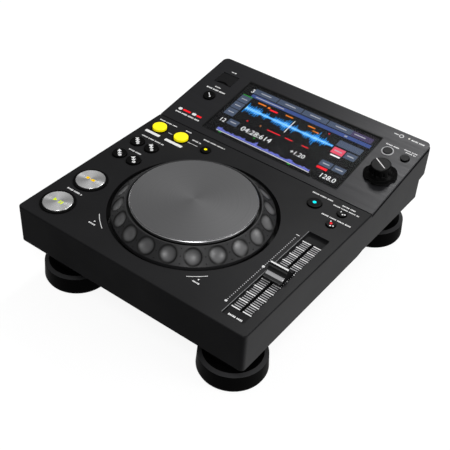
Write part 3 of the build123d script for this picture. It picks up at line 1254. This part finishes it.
def power_button():
    """The power key in the rear wall, with its lip and stem inside."""
    lip_y = REAR_WALL_Y - REAR_WALL_T - REST_GAP
    half_w = POWER_KEY_W / 2
    half_h = POWER_KEY_H / 2
    key = slab((-half_w, half_w), (lip_y - KEY_LIP_T, REAR_WALL_Y + POWER_KEY_OUT),
               (-half_h, half_h))
    key = fillet(key.edges().group_by(Axis.Y)[-1], POWER_KEY_EDGE_R)
    lip = slab((-half_w - KEY_LIP, half_w + KEY_LIP), (lip_y - KEY_LIP_T, lip_y),
               (-half_h - KEY_LIP, half_h + KEY_LIP))
    half_stem = POWER_STEM_W / 2
    stem = slab((-half_stem, half_stem), (POWER_STEM_Y, lip_y), (-half_stem, half_stem))
    return Pos(POWER_KEY_X, 0, POWER_KEY_Z) * (key + lip + stem)


def power_inlet():
    """The two-pin mains inlet with its flange outside the rear wall."""
    outer = REAR_WALL_Y + INLET_FLANGE_T
    inner = REAR_WALL_Y - INLET_L
    half_w = INLET_W / 2
    half_h = INLET_H / 2
    block = slab((-half_w, half_w), (inner, REAR_WALL_Y + 0.5), (-half_h, half_h))
    flange = slab((-half_w - INLET_FLANGE, half_w + INLET_FLANGE), (REAR_WALL_Y, outer),
                  (-half_h - INLET_FLANGE_UP, half_h + INLET_FLANGE_UP))
    floor = inner + INLET_BACK_T
    neck = INLET_WELL_R * INLET_NECK
    inlet = block + flange - slab((-INLET_PIN_PITCH / 2, INLET_PIN_PITCH / 2), (floor, outer + 1),
                                  (-neck, neck))
    for side in (-1, 1):
        lobe = along_y(INLET_WELL_R, floor, outer + 1)
        inlet = inlet - Pos(side * INLET_PIN_PITCH / 2, 0, 0) * lobe
    for side in (-1, 1):
        pin = along_y(INLET_PIN_R, inner + INLET_PIN_ROOT, REAR_WALL_Y - INLET_PIN_SET_IN)
        inlet = inlet + Pos(side * INLET_PIN_PITCH / 2, 0, 0) * pin
    return Pos(INLET_X, 0, INLET_Z) * inlet


def along_y(radius, low, high):
    """A cylinder along Y."""
    return Pos(0, (low + high) / 2, 0) * Rot(90, 0, 0) * Cylinder(radius, high - low)


def line_out_jacks():
    """The pair of line outputs on one block."""
    block_y = (REAR_WALL_Y - REAR_WALL_T - JACK_BLOCK_L, REAR_WALL_Y - REAR_WALL_T)
    block = slab((JACKS[0] - JACK_BLOCK_EDGE, JACKS[1] + JACK_BLOCK_EDGE), block_y,
                 (BOARD_TOP, JACK_Z + JACK_BLOCK_UP))
    for x in JACKS:
        barrel = along_y(JACK_R, block_y[1] - 1, REAR_WALL_Y + JACK_OUT - JACK_NOSE_L)
        nose = along_y(JACK_R - JACK_NOSE_STEP, block_y[1] - 1, REAR_WALL_Y + JACK_OUT)
        bore = along_y(JACK_BORE_R, block_y[0] + JACK_BACK_T, REAR_WALL_Y + JACK_OUT + 1)
        block = block + Pos(x, 0, JACK_Z) * (barrel + nose) - Pos(x, 0, JACK_Z) * bore
    return block


def lan_socket():
    """The network socket, with the notch for the plug's latch."""
    rear = REAR_WALL_Y + CONNECTOR_PROUD
    half = LAN_W / 2
    block = slab((-half, half), (rear - LAN_L, rear), (0, LAN_H))
    depth = (rear - LAN_MOUTH_DEPTH, rear + 1)
    mouth_top = LAN_MOUTH_UP + LAN_MOUTH_H
    mouth = slab((-LAN_MOUTH_W / 2, LAN_MOUTH_W / 2), depth, (LAN_MOUTH_UP, mouth_top))
    latch = slab((-LAN_LATCH_W / 2, LAN_LATCH_W / 2), depth, (mouth_top - 0.1, mouth_top + LAN_LATCH_H))
    return Pos(LAN_X, 0, BOARD_TOP) * (block - mouth - latch)


def usb_device_socket():
    """The square USB socket for a computer, with its tongue."""
    rear = REAR_WALL_Y + CONNECTOR_PROUD
    half = USB_B_W / 2
    floor = rear - USB_B_MOUTH_DEPTH
    shell = slab((-half, half), (rear - USB_B_L, rear), (0, USB_B_H))
    mouth = slab((-USB_B_MOUTH_W / 2, USB_B_MOUTH_W / 2), (floor, rear + 1),
                 (USB_B_MOUTH_UP, USB_B_MOUTH_UP + USB_B_MOUTH_H))
    tongue = slab((-USB_B_TONGUE_W / 2, USB_B_TONGUE_W / 2), (floor - 1, rear - USB_B_TONGUE_SHORT),
                  (USB_B_TONGUE_UP, USB_B_TONGUE_UP + USB_B_TONGUE_H))
    return Pos(USB_B_X, 0, BOARD_TOP) * (shell - mouth + tongue)


def foot():
    """One foot: a wide disc with a bevelled top, on a thick neck."""
    bevel_low = FOOT_DISC_H - FOOT_BEVEL_H
    half_edge = FOOT_EDGE_R * 0.3
    outline = [
        (0, PAD_T),
        (FOOT_R - FOOT_EDGE_R, PAD_T),
        (FOOT_R - half_edge, PAD_T + half_edge),
        (FOOT_R, PAD_T + FOOT_EDGE_R),
        (FOOT_TOP_R, bevel_low),
        (FOOT_BEVEL_R, FOOT_DISC_H),
        (FOOT_NECK_R, FOOT_DISC_H),
        (FOOT_NECK_R, FOOT_H),
        (0, FOOT_H),
    ]
    hole = disc(FOOT_SCREW_R + SEAT_GAP, FOOT_H - FOOT_HOLE_L, FOOT_H + 1)
    return turned(outline) - hole


def feet():
    return Compound([Pos(x, y, 0) * foot() for x, y in FEET])


def foot_pads():
    return Compound([Pos(x, y, 0) * disc(PAD_R, 0, PAD_T) for x, y in FEET])


def base_screws():
    """The four foot screws, from inside, and the case screws, from below."""
    foot_screw = disc(FOOT_SCREW_R, FOOT_H - FOOT_SCREW_L, FLOOR_TOP)
    foot_screw = foot_screw + disc(SCREW_HEAD_R, FLOOR_TOP, FLOOR_TOP + SCREW_HEAD_H)
    head_low = CASE_BOTTOM + REST_GAP
    case_screw = disc(CASE_SCREW_HEAD_R, head_low, CASE_BOTTOM + FLOOR_T / 2)
    case_screw = case_screw + disc(CASE_SCREW_R, head_low, FLOOR_TOP + SCREW_GRIP - 1)
    screws = [Pos(x, y, 0) * foot_screw for x, y in FEET]
    screws += [Pos(x, y, 0) * case_screw for x, y in PILLARS]
    return Compound(screws)


def button_rings():
    """The black bezel rings round play, cue and the two loop keys."""
    rings = []
    for name in ("play_button", "cue_button", "loop_in_button", "loop_out_button"):
        x, y, radius, up, travel = DECK_KEYS[name]
        rings.append(DECK * Pos(x, y, 0) * key_ring(name, radius, WALL))
    return Compound(rings)


def back_ring():
    """The silver ring round the back key."""
    x, s, radius, up, travel = HEAD_KEYS["back_button"]
    return HEAD * Pos(x, s, 0) * key_ring("back_button", radius, PANEL_DEPTH)


PARTS = {
    "upper_shell": upper_shell,
    "head_panel": head_panel,
    "bottom_tub": bottom_tub,
    "screen_glass": screen_glass,
    "display_module": display_module,
    "display_bracket": display_bracket,
    "fader_tray": fader_tray,
    "fader_body": fader_body,
    "fader_lever": fader_lever,
    "fader_cap": fader_cap,
    "jog_base": jog_base,
    "jog_bearings": jog_bearings,
    "jog_shaft": jog_shaft,
    "jog_hub": jog_hub,
    "jog_gear": jog_gear,
    "jog_ring": jog_ring,
    "jog_press_sensor": jog_press_sensor,
    "jog_plate": jog_plate,
    "encoder_gear": encoder_gear,
    "encoder_body": encoder_body,
    "selector_knob": selector_knob,
    "selector_shaft": selector_shaft,
    "selector_rotor": selector_rotor,
    "selector_body": selector_body,
    "usb_hatch": usb_hatch,
    "hatch_pin": lambda: HEAD * hatch_pin_rod(HATCH_PIN_R),
    "usb_well": usb_well,
    "usb_host_socket": usb_host_socket,
    "standby_light": standby_light,
    "left_key_board": left_key_board,
    "right_key_board": right_key_board,
    "head_boards": head_boards,
    "key_switches": key_switches,
    "main_board": main_board,
    "power_board": power_board,
    "power_button": power_button,
    "power_inlet": power_inlet,
    "line_out_jacks": line_out_jacks,
    "lan_socket": lan_socket,
    "usb_device_socket": usb_device_socket,
    "button_rings": button_rings,
    "back_ring": back_ring,
    "feet": feet,
    "foot_pads": foot_pads,
    "base_screws": base_screws,
}

for name, make in PARTS.items():
    save(name, make())
for name, (x, y, radius, up, travel) in DECK_KEYS.items():
    save(name, DECK * Pos(x, y, 0) * round_key(radius, up, travel, WALL))
for name, (x, s, radius, up, travel) in HEAD_KEYS.items():
    save(name, HEAD * Pos(x, s, 0) * round_key(radius, up, travel, PANEL_DEPTH))

print(f"case {CASE_W:.1f} wide, {CASE_D:.1f} deep, deck {DECK_D:.2f}, head slope {HEAD_SLOPE:.2f}")
print(f"jog axis ({JOG_X:.2f}, {JOG_Y:.2f}), fader ({FADER_X:.2f}, {FADER_Y:.2f})")
